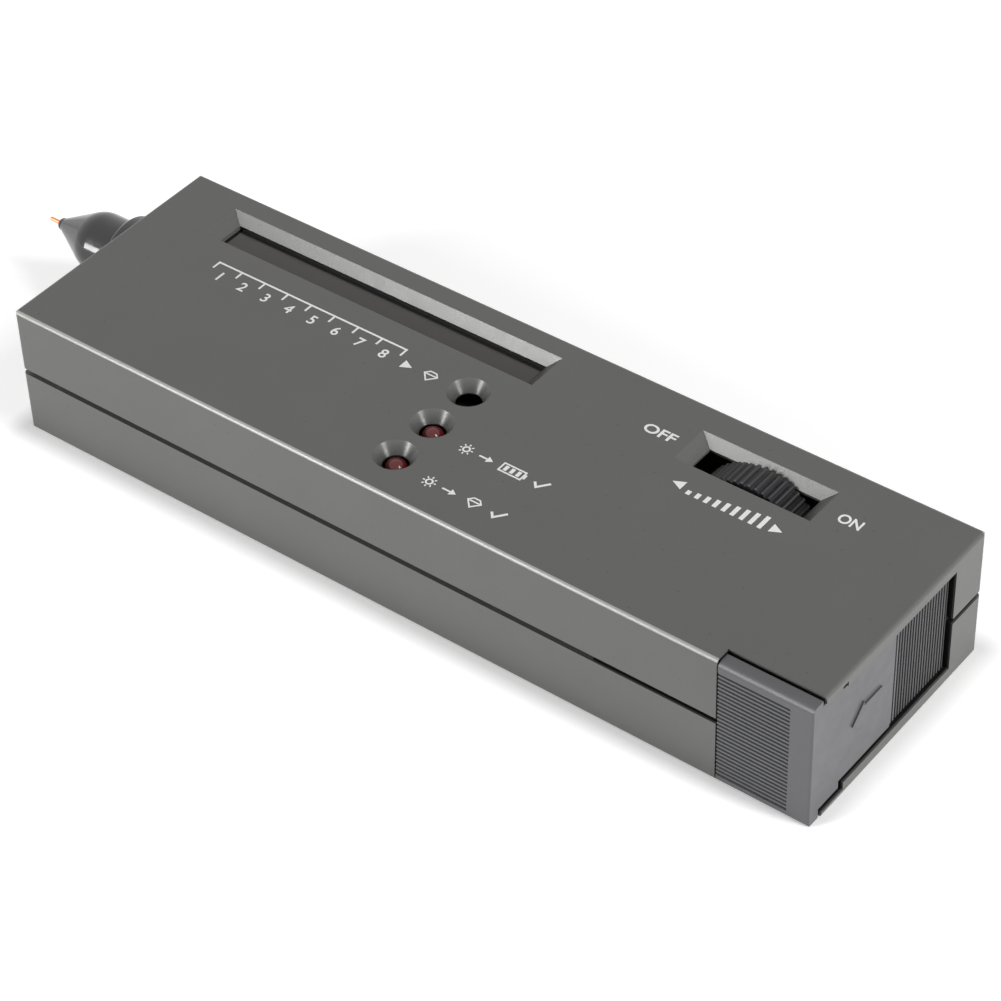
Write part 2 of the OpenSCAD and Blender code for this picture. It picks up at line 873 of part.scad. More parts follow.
// Axial resistor lying along Y, with its ends swelling
module resistor() {
  r = 1.1;
  waist = 0.9;
  l = 5;
  cap_l = 1.2;
  span = 3.3;
  z = r + 0.1;
  translate([0, -l / 2, z])
    rotate([-90, 0, 0]) {
      cylinder(h = cap_l, r = r);
      cylinder(h = l, r = waist);
      translate([0, 0, l - cap_l])
        cylinder(h = cap_l, r = r);
      translate([0, 0, l / 2 - span])
        cylinder(h = 2 * span, r = lead_r);
    }
  for (side = [-1, 1])
    translate([0, side * (span - lead_r), 0])
      cylinder(h = z, r = lead_r);
}

module resistors() {
  count = 4;
  pitch = 3.4;
  color([0.75, 0.62, 0.42]) placed()
    for (i = [0 : count - 1])
      translate([resistor_row[0] + i * pitch, resistor_row[1], board_z])
        resistor();
}

module capacitors() {
  d = 6.3;
  h = 5.6;
  groove_z = 1.2;
  groove = 0.3;
  color([0.2, 0.22, 0.3]) placed()
    at_each(capacitor_points)
      translate([0, 0, board_z])
        rotate_extrude()
          polygon([
            [0, 0], [d / 2, 0], [d / 2, groove_z], [d / 2 - groove, groove_z + groove],
            [d / 2, groove_z + 2 * groove], [d / 2, h - groove], [d / 2 - groove, h], [0, h]
          ]);
}

// Small three-lead package with a flat front
module transistor() {
  r = 2.3;
  foot = 1.2;
  h = 4.5;
  flat = 1.2;
  pitch = 1.27;
  color([0.08, 0.08, 0.08]) placed()
    translate([transistor_point[0], transistor_point[1], board_z]) {
      translate([0, 0, foot])
        difference() {
          cylinder(h = h, r = r);
          box(-2 * r, 2 * r, -2 * r, -flat, -over, h + over);
        }
      for (i = [-1 : 1])
        translate([i * pitch, 0, 0])
          cylinder(h = foot + sink, r = lead_r);
    }
}

// Volume wheel and control

module volume_wheel() {
  step = 360 / rib_count;
  root_r = wheel_r - rib_depth;
  turns = [0, 0.2, 0.38, 0.62, 0.8];
  rises = [0, 0.3, 1, 1, 0.3];
  color(wheel_grey) placed()
    wheel_axis()
      translate([0, 0, wheel_y - wheel_w / 2])
        difference() {
          intersection() {
            linear_extrude(wheel_w)
              polygon([for (i = [0 : rib_count - 1], k = [0 : len(turns) - 1])
                let (r = root_r + rises[k] * rib_depth, a = (i + turns[k]) * step)
                [r * cos(a), r * sin(a)]]);
            rotate_extrude()
              polygon([
                [0, 0], [wheel_r - rim_bevel, 0], [wheel_r + over, rim_bevel + over],
                [wheel_r + over, wheel_w - rim_bevel - over], [wheel_r - rim_bevel, wheel_w],
                [0, wheel_w]
              ]);
          }
          translate([0, 0, -over])
            cylinder(h = wheel_w + 2 * over, r = shaft_r + fit);
        }
}

module control_shaft() {
  near = wheel_y - wheel_w / 2 + gap;
  far = control_y + pot_t - control_wall - gap;
  color(steel) placed()
    wheel_axis()
      difference() {
        translate([0, 0, near])
          cylinder(h = far - near, r = shaft_r);
        translate([0, 0, near - over])
          cylinder(h = wheel_screw_l + over, r = wheel_screw_r + fit);
      }
}

module wheel_screw() {
  near = wheel_y - wheel_w / 2;
  color(steel) placed()
    wheel_axis()
      difference() {
        union() {
          translate([0, 0, near - wheel_head_h])
            cylinder(h = wheel_head_h, r = wheel_head_r);
          translate([0, 0, near - sink])
            cylinder(h = wheel_screw_l + sink, r = wheel_screw_r);
        }
        box(-wheel_head_r - over, wheel_head_r + over, -recess_w / 2, recess_w / 2,
          near - wheel_head_h - over, near - wheel_head_h / 2);
      }
}

module control_body() {
  color([0.1, 0.1, 0.1]) placed()
    wheel_axis()
      difference() {
        translate([0, 0, control_y])
          cylinder(h = pot_t, d = pot_d);
        translate([0, 0, control_y - over])
          cylinder(h = pot_t - control_wall + over, r = shaft_r + fit);
      }
}

module control_lugs() {
  color(steel) placed()
    difference() {
      for (i = [0 : 2])
        box(lug_x, wheel_x, lug_y - lug_t / 2, lug_y + lug_t / 2,
          lug_low + i * lug_pitch - lug_w / 2, lug_low + i * lug_pitch + lug_w / 2);
      wheel_axis()
        translate([0, 0, control_y - over])
          cylinder(h = pot_t + 2 * over, d = pot_d);
    }
}

module control_leads() {
  color([0.75, 0.1, 0.1]) placed()
    for (i = [0 : 2])
      translate([lug_x, lug_y, lug_low + i * lug_pitch])
        turned_lead(lug_x - board_x1 + control_lead_end - i * lug_pitch,
          board_z - board_t - lug_low - i * lug_pitch);
}

// Battery

module battery() {
  edge = 2;
  color([0.2, 0.2, 0.22]) placed()
    translate([battery_x, battery_mid, stud_z])
      rotate([90, 0, 90])
        linear_extrude(battery_l)
          round_rect(battery_w, battery_h, edge);
}

// Studs on the battery's end: a plain one and a wide hollow one
module battery_studs() {
  wall_t = 0.7;
  color(steel) placed()
    translate([battery_x, battery_mid, stud_z])
      rotate([0, -90, 0]) {
        translate([0, -stud_pitch / 2, 0])
          cylinder(h = stud_l, r = male_r);
        translate([0, stud_pitch / 2, 0])
          difference() {
            cylinder(h = stud_l, r = female_r);
            translate([0, 0, wall_t])
              cylinder(h = stud_l, r = female_r - wall_t);
          }
      }
}

module battery_snap() {
  edge = 3;
  color(gloss_black) placed()
    difference() {
      translate([snap_x, battery_mid, stud_z])
        rotate([90, 0, 90])
          linear_extrude(snap_t)
            round_rect(snap_w, snap_h, edge);
      translate([battery_x, battery_mid, stud_z])
        rotate([0, -90, 0])
          for (stud = [[-1, male_r], [1, female_r]])
            translate([0, stud[0] * stud_pitch / 2, -over])
              cylinder(h = stud_l + fit + over, r = stud[1] + fit);
    }
}

module battery_leads() {
  color([0.6, 0.06, 0.06]) placed()
    for (side = [-1, 1])
      translate([snap_x, battery_mid + side * male_r, snap_lead_z])
        turned_lead(snap_x - board_x1 + snap_lead_end, board_z - board_t - snap_lead_z);
}

// Probe

module probe_nose() {
  color(gloss_black) placed()
    probe_axis()
      rotate_extrude()
        difference() {
          union() {
            polygon(concat(
              [[0, pin_out + nose_tip_r], [nose_tip_r, pin_out + nose_tip_r]],
              [for (i = [0 : shoulder_steps])
                let (a = nose_slope * (1 - i / shoulder_steps))
                [nose_r - shoulder_r * (1 - cos(a)), shoulder_s - shoulder_r * sin(a)]],
              [[nose_r, probe_reach - fit], [neck_r, probe_reach - fit], [neck_r, neck_end + fit],
              [flange_r, neck_end + fit], [flange_r, nose_end], [0, nose_end]]
            ));
            intersection() {
              translate([0, pin_out + nose_tip_r])
                circle(nose_tip_r);
              translate([0, pin_out])
                square([nose_r, 2 * nose_tip_r]);
            }
          }
          translate([-over, 0])
            square([guide_r + over, nose_end]);
          translate([-over, cone_end])
            square([chamber_r + over, nose_end]);
          translate([-over, carrier_s])
            square([carrier_r + fit + over, nose_end]);
        }
}

// Round collar between the nose and the case's end wall, with its front edge rounded
module probe_collar() {
  inner = nose_r + fit;
  shoulder = collar_front + collar_edge_r;
  color(gloss_black) placed()
    probe_axis()
      rotate_extrude() {
        translate([inner, collar_front])
          square([collar_r - collar_edge_r - inner, collar_l]);
        translate([inner, shoulder])
          square([collar_r - inner, collar_l - collar_edge_r]);
        translate([collar_r - collar_edge_r, shoulder])
          circle(collar_edge_r);
      }
}

module probe_tip() {
  color(copper) placed()
    probe_axis() {
      translate([0, 0, pin_d / 2])
        sphere(d = pin_d);
      translate([0, 0, pin_d / 2])
        cylinder(h = plunger_s, d = pin_d);
      translate([0, 0, plunger_s])
        cylinder(h = plunger_l, r = plunger_r);
      translate([0, 0, plunger_s])
        cylinder(h = plunger_l + tail_l, r = tail_r);
    }
}

// Spring between the plunger and the carrier, one tube swept along a helix
ring_count = 8 * spring_turns + 1;
tube_sides = 6;
coil_s0 = spring_s + spring_wire / 2 + fit;
coil_s1 = carrier_s - spring_wire / 2 - fit;
function coil_at(i) =
  let (a = 45 * i, s = coil_s0 + (coil_s1 - coil_s0) * i / (ring_count - 1))
  [coil_r * cos(a), coil_r * sin(a), s];
function tube_at(i, k) =
  let (a = 45 * i, b = 360 * k / tube_sides, c = coil_at(i), r = spring_wire / 2)
  c + [r * cos(b) * cos(a), r * cos(b) * sin(a), r * sin(b)];
coil_clear = min([for (i = [0 : ring_count - 9], j = [i + 6 : min(i + 10, ring_count - 1)])
  norm(coil_at(i) - coil_at(j))]) - spring_wire;
echo(tip_spring_least_gap = coil_clear);

module tip_spring() {
  n = tube_sides;
  last = (ring_count - 1) * n;
  color(steel) placed()
    probe_axis()
      polyhedron(
        points = [for (i = [0 : ring_count - 1], k = [0 : n - 1]) tube_at(i, k)],
        faces = concat(
          [for (k = [1 : n - 2]) [0, k, k + 1]],
          [for (k = [1 : n - 2]) [last, last + k + 1, last + k]],
          [for (i = [0 : ring_count - 2], k = [0 : n - 1])
            [i * n + k, (i + 1) * n + k, i * n + (k + 1) % n]],
          [for (i = [0 : ring_count - 2], k = [0 : n - 1])
            [i * n + (k + 1) % n, (i + 1) * n + k, (i + 1) * n + (k + 1) % n]]
        )
      );
}

// Insulating holder behind the spring
module tip_carrier() {
  color([0.85, 0.82, 0.74]) placed()
    probe_axis()
      difference() {
        translate([0, 0, carrier_s])
          cylinder(h = carrier_l, r = carrier_r);
        translate([0, 0, carrier_s - over])
          cylinder(h = tail_hole_l + over, r = tail_r + 2 * fit);
        translate([0, 0, carrier_end - heater_l])
          cylinder(h = heater_l + over, r = heater_r + fit);
      }
}

module tip_heater() {
  color([0.35, 0.2, 0.12]) placed()
    probe_axis()
      translate([0, 0, carrier_end - heater_l])
        cylinder(h = heater_l, r = heater_r);
}

module probe_leads() {
  run = board_x0 + probe_lead_end - tip_x - carrier_end;
  rise = board_z - board_t - parting_h + probe_lead_drop;
  lead_bend = rise / 2;
  r = 0.3;
  color([0.8, 0.75, 0.2]) placed()
    for (side = [-1, 1])
      probe_axis()
        translate([probe_lead_drop, side * heater_r / 2, carrier_end]) {
          cylinder(h = run - lead_bend, r = r);
          translate([-lead_bend, 0, run - lead_bend])
            rotate([90, 0, 0])
              rotate_extrude(angle = 90)
                translate([lead_bend, 0])
                  circle(r);
          translate([-rise, 0, run])
            rotate([0, 90, 0])
              cylinder(h = rise - lead_bend, r = r);
        }
}

// Fasteners

// Cross recess in a screw's head, open towards -Z
module cross_recess() {
  for (a = [0, 90])
    rotate([0, 0, a])
      translate([-recess_l / 2, -recess_w / 2, -over])
        cube([recess_l, recess_w, recess_d + over]);
}

module case_screws() {
  color(steel) placed()
    at_each(screw_points)
      difference() {
        union() {
          translate([0, 0, screw_cbore - screw_head_h])
            cylinder(h = screw_head_h, r = screw_head_r);
          translate([0, 0, screw_cbore - sink])
            cylinder(h = screw_l + sink, r = screw_r);
        }
        translate([0, 0, screw_cbore - screw_head_h])
          cross_recess();
      }
}

module board_screws() {
  head_z = board_z - board_t - board_head_h;
  color(steel) placed()
    at_each(board_points)
      difference() {
        union() {
          translate([0, 0, head_z])
            cylinder(h = board_head_h, r = board_head_r);
          translate([0, 0, board_z - board_t - sink])
            cylinder(h = board_screw_l + sink, r = board_screw_r);
        }
        translate([0, 0, head_z])
          cross_recess();
      }
}

upper_case();
lower_case();
battery_door();
display_window();
bar_leds();
battery_lamp();
ready_lamp();
buzzer();
main_board();
driver_chips();
resistors();
capacitors();
transistor();
volume_wheel();
wheel_screw();
control_shaft();
control_body();
control_lugs();
control_leads();
battery();
battery_studs();
battery_snap();
battery_leads();
probe_nose();
probe_collar();
probe_tip();
tip_spring();
tip_carrier();
tip_heater();
probe_leads();
case_screws();
board_screws();
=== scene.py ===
"""Looks of a handheld gem tester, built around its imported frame. Metres unless a name says mm."""
import json
import math

import bmesh
import bpy
from mathutils import Matrix, Vector

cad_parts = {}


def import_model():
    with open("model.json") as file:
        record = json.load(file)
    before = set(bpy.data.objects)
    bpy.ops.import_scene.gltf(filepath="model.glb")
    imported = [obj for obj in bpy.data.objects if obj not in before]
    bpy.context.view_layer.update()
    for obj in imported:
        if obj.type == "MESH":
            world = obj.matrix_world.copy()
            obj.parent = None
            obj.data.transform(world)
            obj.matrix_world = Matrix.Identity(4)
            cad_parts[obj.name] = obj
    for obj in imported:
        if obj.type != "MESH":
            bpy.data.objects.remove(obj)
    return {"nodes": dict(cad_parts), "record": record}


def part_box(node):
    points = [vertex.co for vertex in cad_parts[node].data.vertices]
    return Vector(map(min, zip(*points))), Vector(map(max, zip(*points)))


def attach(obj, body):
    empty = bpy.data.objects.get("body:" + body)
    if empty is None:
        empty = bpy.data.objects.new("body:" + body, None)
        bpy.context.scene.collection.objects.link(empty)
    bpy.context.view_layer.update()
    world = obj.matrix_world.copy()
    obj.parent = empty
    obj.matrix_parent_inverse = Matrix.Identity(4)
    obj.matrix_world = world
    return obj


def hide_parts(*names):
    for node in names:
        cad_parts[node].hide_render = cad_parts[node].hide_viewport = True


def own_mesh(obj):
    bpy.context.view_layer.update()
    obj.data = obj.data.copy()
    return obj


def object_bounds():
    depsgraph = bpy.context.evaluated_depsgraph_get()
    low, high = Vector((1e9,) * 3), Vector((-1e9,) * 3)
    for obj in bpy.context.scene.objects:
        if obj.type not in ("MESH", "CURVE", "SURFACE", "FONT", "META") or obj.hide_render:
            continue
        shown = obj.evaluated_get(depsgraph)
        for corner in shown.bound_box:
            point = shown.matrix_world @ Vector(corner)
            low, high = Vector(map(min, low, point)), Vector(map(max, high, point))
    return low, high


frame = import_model()
cad_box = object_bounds()

MM = 0.001
NODES = frame["nodes"]
CASE_LOW, CASE_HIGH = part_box("upper_case")
MID_X = (CASE_LOW.x + CASE_HIGH.x) / 2
TOP_Z = CASE_HIGH.z

# Places on the case, the lens and the door that differ in finish, and places where shade and a highlight are painted
COUNTERSINK_R = 3.62 * MM
WINDOW_SIZE = (65.3 * MM, 5.25 * MM)
WINDOW_WALL = 1.82 * MM
SUNK_MARGIN = 0.05 * MM
PANEL_RIM = 1.0 * MM
SLOPE_DEPTH = 2.2 * MM
LENS_SHADE_BAND = 0.7 * MM
GROOVE_Z, GROOVE_HALF = 12.4 * MM, 0.53 * MM
GAP_RIM, GAP_DEPTH = 0.35 * MM, 4.0 * MM
DOOR_WRAP = 40 * MM
EDGE, EDGE_MARGIN = 0.6 * MM, 0.02 * MM
RIDGE_FLOOR = 0.45 * MM
DUST_PITCH, DUST_SIZE = 2.6 * MM, 0.05
CONE_POLISH, SLOPE_POLISH, EDGE_POLISH = 0.05, 0.08, 0.1

# Camera, at the photograph's viewing angle
FOCAL_MM = 119.5
SENSOR_MM = 36.0
CAMERA_AT = Vector((0.26628, -0.31095, 0.36427))
CAMERA_AZIMUTH = math.radians(38.78)
CAMERA_ELEVATION = math.radians(41.688)
CAMERA_ROLL = math.radians(-2.108)


def srgb(red, green, blue):
    """Linear colour of an 8-bit screen colour."""
    def linear(value):
        v = value / 255
        return v / 12.92 if v <= 0.04045 else ((v + 0.055) / 1.055) ** 2.4
    return (linear(red), linear(green), linear(blue), 1.0)


# Node trees

class Tree:
    """One material's nodes: a Principled shader and short calls for what feeds it."""

    def __init__(self, name):
        self.material = bpy.data.materials.new(name)
        self.material.use_nodes = True
        self.nodes = self.material.node_tree.nodes
        self.links = self.material.node_tree.links
        self.nodes.clear()
        self.output = self.nodes.new("ShaderNodeOutputMaterial")
        self.shader = self.nodes.new("ShaderNodeBsdfPrincipled")
        self.links.new(self.shader.outputs["BSDF"], self.output.inputs["Surface"])
        self.place = self.nodes.new("ShaderNodeTexCoord").outputs["Object"]

    def set(self, **values):
        """Constants on the shader's own sockets; underscores stand for spaces."""
        for name, value in values.items():
            self.shader.inputs[name.replace("_", " ")].default_value = value

    def feed(self, socket, source):
        self.links.new(source, self.shader.inputs[socket])

    def node(self, kind, inputs=(), **settings):
        made = self.nodes.new(kind)
        for name, value in settings.items():
            setattr(made, name, value)
        for name, value in dict(inputs).items():
            if isinstance(value, bpy.types.NodeSocket):
                self.links.new(value, made.inputs[name])
            else:
                made.inputs[name].default_value = value
        return made

    def math(self, operation, first, second=0.0):
        return self.node("ShaderNodeMath", {0: first, 1: second}, operation=operation).outputs[0]

    def noise(self, size_mm, detail=2.0, stretch=(1, 1, 1)):
        """Cloudy pattern whose grains are about size_mm across."""
        place = self.node("ShaderNodeMapping", {"Vector": self.place, "Scale": stretch}).outputs[0]
        return self.node("ShaderNodeTexNoise",
                         {"Vector": place, "Scale": 1 / (size_mm * MM), "Detail": detail}).outputs["Fac"]

    def between(self, source, low, high, start=0.3, stop=0.7):
        """Source from start to stop, spread over low to high."""
        return self.node("ShaderNodeMapRange", {"Value": source, "From Min": start, "From Max": stop,
                                                "To Min": low, "To Max": high}).outputs[0]

    def axes(self):
        """The three coordinates of a point."""
        return self.node("ShaderNodeSeparateXYZ", {0: self.place}).outputs

    def above(self, axis, value):
        """1 where a coordinate is more than a value."""
        return self.math("GREATER_THAN", axis, value)

    def below(self, axis, value):
        """1 where a coordinate is less than a value."""
        return self.math("LESS_THAN", axis, value)

    def all_of(self, *parts):
        """1 where every part is 1."""
        mask = parts[0]
        for part in parts[1:]:
            mask = self.math("MULTIPLY", mask, part)
        return mask

    def any_of(self, *parts):
        """1 where any part is 1."""
        mask = parts[0]
        for part in parts[1:]:
            mask = self.math("MAXIMUM", mask, part)
        return mask

    def within(self, axis, middle, half):
        """1 where a coordinate lies within half of the middle."""
        return self.below(self.math("ABSOLUTE", self.math("SUBTRACT", axis, middle)), half)

    def around(self, centre, radius):
        """1 inside an upright cylinder."""
        flat = self.node("ShaderNodeVectorMath", {0: self.place, 1: (1, 1, 0)}, operation="MULTIPLY").outputs[0]
        away = self.node("ShaderNodeVectorMath", {0: flat, 1: (centre.x, centre.y, 0)}, operation="DISTANCE")
        return self.below(away.outputs["Value"], radius)

    def blend(self, factor, first, second):
        """Colour between two colours."""
        return self.node("ShaderNodeMix", {0: factor, 6: first, 7: second}, data_type="RGBA").outputs[2]

    def bump(self, height, depth_mm, strength=1.0):
        made = self.node("ShaderNodeBump", {"Height": height, "Distance": depth_mm * MM, "Strength": strength})
        self.feed("Normal", made.outputs[0])


def shaded(colour, factor):
    """A colour made darker or lighter."""
    return tuple(channel * factor for channel in colour[:3]) + (1.0,)


def moulded(name, colour, roughness, grain_mm=0.25, grain_depth_mm=0.006, spread=0.12, gloss_spread=0.05):
    """Moulded plastic: uneven tint, uneven gloss and the fine grain of a spark-eroded mould."""
    tree = Tree(name)
    tint = tree.between(tree.noise(14, detail=4), 0.0, 1.0)
    tree.tint = tree.blend(tint, shaded(colour, 1 - spread), shaded(colour, 1 + spread))
    tree.gloss = tree.between(tree.noise(2.5, detail=5), roughness - gloss_spread, roughness + gloss_spread)
    tree.feed("Base Color", tree.tint)
    tree.feed("Roughness", tree.gloss)
    tree.bump(tree.noise(grain_mm, detail=2), grain_depth_mm)
    tree.set(Specular_IOR_Level=0.5)
    return tree


def metal(name, colour, roughness, streak=(1, 1, 1), grain_mm=0.3):
    """Bare metal with fine drawing or plating marks."""
    tree = Tree(name)
    marks = tree.noise(grain_mm, detail=6, stretch=streak)
    tree.feed("Base Color", tree.blend(tree.between(marks, 0.0, 1.0), shaded(colour, 0.8), colour))
    tree.feed("Roughness", tree.between(marks, roughness - 0.08, roughness + 0.12))
    tree.bump(marks, 0.004)
    tree.set(Metallic=1.0)
    return tree


# Materials

def middle_of(name):
    low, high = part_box(name)
    return (Vector(low) + Vector(high)) / 2


def smoother_places(tree, x, side, z):
    """Loss of roughness on the countersinks, the recesses' slopes and the long top edges, where a highlight is also
    painted; and those edges alone.
    """
    sunk = tree.below(z, TOP_Z - SUNK_MARGIN)
    holes = [tree.around(middle_of(name), COUNTERSINK_R) for name in ("buzzer", "battery_lamp", "ready_lamp")]
    cones = tree.all_of(sunk, tree.any_of(*holes))
    inside = tree.all_of(tree.within(x, MID_X, CASE_HIGH.x - MID_X - PANEL_RIM),
                         tree.below(side, CASE_HIGH.y - PANEL_RIM))
    slopes = tree.all_of(sunk, inside, tree.above(z, TOP_Z - SLOPE_DEPTH))
    rounding = tree.within(z, TOP_Z - EDGE / 2, EDGE / 2 - EDGE_MARGIN)
    # The long top edges: glossier here, and case_plastic paints a highlight on them.
    painted_highlight_edges = tree.all_of(rounding, tree.above(side, CASE_HIGH.y - EDGE))
    masks = ((cones, CONE_POLISH), (slopes, SLOPE_POLISH), (painted_highlight_edges, EDGE_POLISH))
    return tree.any_of(*(tree.math("MULTIPLY", mask, polish) for mask, polish in masks)), painted_highlight_edges


def dark_places(tree, x, y, side, z):
    """1 where shade is painted: on the window's wall, in the groove between the halves and behind the door's gaps."""
    lens = middle_of("display_window")
    wall = tree.all_of(tree.below(z, TOP_Z - WINDOW_WALL), tree.above(z, lens.z),
                       tree.within(x, lens.x, WINDOW_SIZE[0] / 2), tree.within(y, lens.y, WINDOW_SIZE[1] / 2))
    groove = tree.within(z, GROOVE_Z, GROOVE_HALF)
    deep = tree.all_of(tree.below(x, CASE_HIGH.x - GAP_RIM), tree.below(side, CASE_HIGH.y - GAP_RIM),
                       tree.within(z, TOP_Z / 2, TOP_Z / 2 - GAP_RIM))
    near_wrap = tree.all_of(tree.below(y, CASE_LOW.y + GAP_DEPTH), tree.above(x, CASE_HIGH.x - DOOR_WRAP))
    door_side = tree.any_of(tree.above(x, CASE_HIGH.x - GAP_DEPTH), near_wrap)
    return tree.any_of(wall, groove, tree.all_of(deep, door_side))


def case_plastic():
    """Grey moulded case: fine speckle, specks of dust, a painted highlight on the long top edges, and painted shade
    on the window's wall, in the groove and inside the gaps.
    """
    tree = moulded("case_plastic", srgb(86, 86, 84), 0.36, spread=0.03, gloss_spread=0.015)
    x, y, z = tree.axes()
    side = tree.math("ABSOLUTE", y)
    speckle = tree.between(tree.noise(0.18, detail=1), 0.94, 1.06)
    speckled = tree.node("ShaderNodeVectorMath", {0: tree.tint, 1: speckle}, operation="MULTIPLY").outputs[0]
    dust = tree.node("ShaderNodeTexVoronoi", {"Vector": tree.place, "Scale": 1 / DUST_PITCH}).outputs["Distance"]
    dusty = tree.blend(tree.below(dust, DUST_SIZE), speckled, srgb(64, 64, 62))
    polish, painted_highlight_edges = smoother_places(tree, x, side, z)
    # Painted highlight: the long top edges are made paler grey.
    edge_highlighted = tree.blend(painted_highlight_edges, dusty, srgb(150, 150, 147))
    # Painted shade: near-black on the window's wall, in the groove between the halves and behind the door's gaps.
    tree.feed("Base Color", tree.blend(dark_places(tree, x, y, side, z), edge_highlighted, srgb(20, 20, 20)))
    tree.feed("Roughness", tree.math("SUBTRACT", tree.gloss, polish))
    return tree.material


def door_plastic():
    """Grey moulded door, with painted shade between the grip ridges of its end."""
    tree = moulded("door_plastic", srgb(82, 82, 84), 0.38, spread=0.03)
    x, y, _ = tree.axes()
    between = tree.all_of(tree.below(x, CASE_HIGH.x - RIDGE_FLOOR), tree.above(y, 0.0))
    # Painted shade: darker grey in the grooves between the end's grip ridges.
    tree.feed("Base Color", tree.blend(between, tree.tint, srgb(46, 46, 48)))
    return tree.material


def wheel_plastic():
    return moulded("wheel_plastic", srgb(34, 34, 36), 0.5, grain_depth_mm=0.01).material


def smoked_lens():
    """Smoked clear plastic with a near-black band round the view: painted shade of the window's wall."""
    tree = moulded("smoked_lens", srgb(54, 49, 46), 0.12, grain_mm=3, grain_depth_mm=0.002)
    x, y, _ = tree.axes()
    middle = middle_of("display_window")
    view = tree.all_of(tree.within(x, middle.x, WINDOW_SIZE[0] / 2 - LENS_SHADE_BAND),
                       tree.within(y, middle.y, WINDOW_SIZE[1] / 2 - LENS_SHADE_BAND))
    # Painted shade: near-black band round the view for the shade of the window's wall.
    tree.feed("Base Color", tree.blend(view, srgb(14, 13, 13), tree.tint))
    tree.set(Transmission_Weight=0.1, IOR=1.49)
    return tree.material


def red_resin():
    tree = moulded("red_resin", srgb(118, 18, 20), 0.16, grain_mm=1.2, grain_depth_mm=0.004)
    tree.set(Transmission_Weight=0.1, IOR=1.52)
    return tree.material


def probe_gloss():
    tree = moulded("probe_gloss", srgb(16, 16, 17), 0.14, grain_mm=1.5, grain_depth_mm=0.004)
    tree.set(Coat_Weight=0.5, Coat_Roughness=0.08)
    return tree.material


def black_plastic():
    return moulded("black_plastic", srgb(26, 26, 27), 0.5).material


def tip_copper():
    return metal("tip_copper", srgb(232, 150, 110), 0.36, streak=(0.1, 1, 1)).material


def screw_steel():
    return metal("screw_steel", srgb(196, 198, 202), 0.3).material


def tinned_metal():
    return metal("tinned_metal", srgb(214, 214, 210), 0.38, streak=(1, 0.2, 1)).material


def board_laminate():
    """Green solder mask over copper tracks that run along the board."""
    tree = Tree("board_laminate")
    place = tree.node("ShaderNodeMapping", {"Vector": tree.place, "Scale": (220, 620, 1)}).outputs[0]
    tracks = tree.node("ShaderNodeTexBrick", {"Vector": place, "Scale": 1.0, "Mortar Size": 0.06})
    mask = tree.blend(tree.between(tree.noise(6, detail=5), 0.0, 1.0), srgb(18, 74, 40), srgb(26, 92, 50))
    tree.feed("Base Color", tree.blend(tracks.outputs["Fac"], mask, srgb(44, 118, 64)))
    tree.feed("Roughness", tree.between(tree.noise(3), 0.22, 0.34))
    tree.bump(tracks.outputs["Fac"], 0.03)
    return tree.material


def resistor_lacquer():
    """Beige lacquer with rings of colour along the part."""
    tree = Tree("resistor_lacquer")
    rings = tree.node("ShaderNodeTexWave", {"Vector": tree.place, "Scale": 190.0, "Distortion": 0.1},
                      bands_direction="Y").outputs["Fac"]
    hue = tree.blend(tree.between(tree.noise(2), 0.0, 1.0), srgb(120, 40, 26), srgb(60, 52, 130))
    tree.feed("Base Color", tree.blend(tree.between(rings, 0.0, 1.0, 0.8, 0.9), srgb(204, 176, 128), hue))
    tree.feed("Roughness", tree.between(tree.noise(1), 0.25, 0.4))
    tree.bump(tree.noise(0.6), 0.02)
    return tree.material


def capacitor_sleeve():
    tree = moulded("capacitor_sleeve", srgb(42, 46, 66), 0.3, grain_mm=0.8)
    return tree.material


def battery_jacket():
    tree = moulded("battery_jacket", srgb(48, 48, 54), 0.28, grain_mm=0.12, spread=0.2)
    tree.set(Metallic=0.4)
    return tree.material


def lead_insulation():
    return moulded("lead_insulation", srgb(158, 24, 22), 0.4, grain_mm=0.5, grain_depth_mm=0.01).material


def insulator():
    return moulded("insulator", srgb(206, 196, 168), 0.55, grain_mm=0.4, grain_depth_mm=0.012).material


def legend_ink():
    """White print, a little thin in places."""
    return moulded("legend_ink", srgb(238, 238, 236), 0.5, grain_mm=0.15, spread=0.03).material


SLOT_MATERIALS = {
    maker.__name__: maker() for maker in (
        case_plastic, door_plastic, wheel_plastic, smoked_lens, red_resin, probe_gloss, black_plastic,
        tip_copper, screw_steel, tinned_metal, board_laminate, resistor_lacquer, capacitor_sleeve,
        battery_jacket, lead_insulation, insulator)
}
INK = legend_ink()


def dress_nodes():
    """Every CAD node takes the finish of its slot in the record."""
    slots = {entry["slot"] for entry in frame["record"]["materials"]}
    for name, piece in NODES.items():
        slot = piece.data.materials[0].name.split(".")[0]
        if slot not in slots:
            raise ValueError(f"{name} has no known slot: {slot}")
        piece.data.materials.clear()
        piece.data.materials.append(SLOT_MATERIALS[slot])


def sprung_coil():
    """The pin's spring as a copy of its own on the case, in place of the imported one, which is hidden."""
    node = NODES["tip_spring"]
    piece = bpy.data.objects.new("spring_coil", node.data.copy())
    bpy.context.scene.collection.objects.link(piece)
    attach(piece, "case")
    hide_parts("tip_spring")
    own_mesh(piece)


# Prints on the top panel, in mm from the middle of the panel

INK_THICKNESS = 0.02 * MM
WELD = 0.0001 * MM
LINE_MM = 0.36


def patch(mesh, outline):
    """Flat patch of ink; printed() gives it its thickness."""
    mesh.faces.new([mesh.verts.new((MID_X + x * MM, y * MM, TOP_Z)) for x, y in outline])


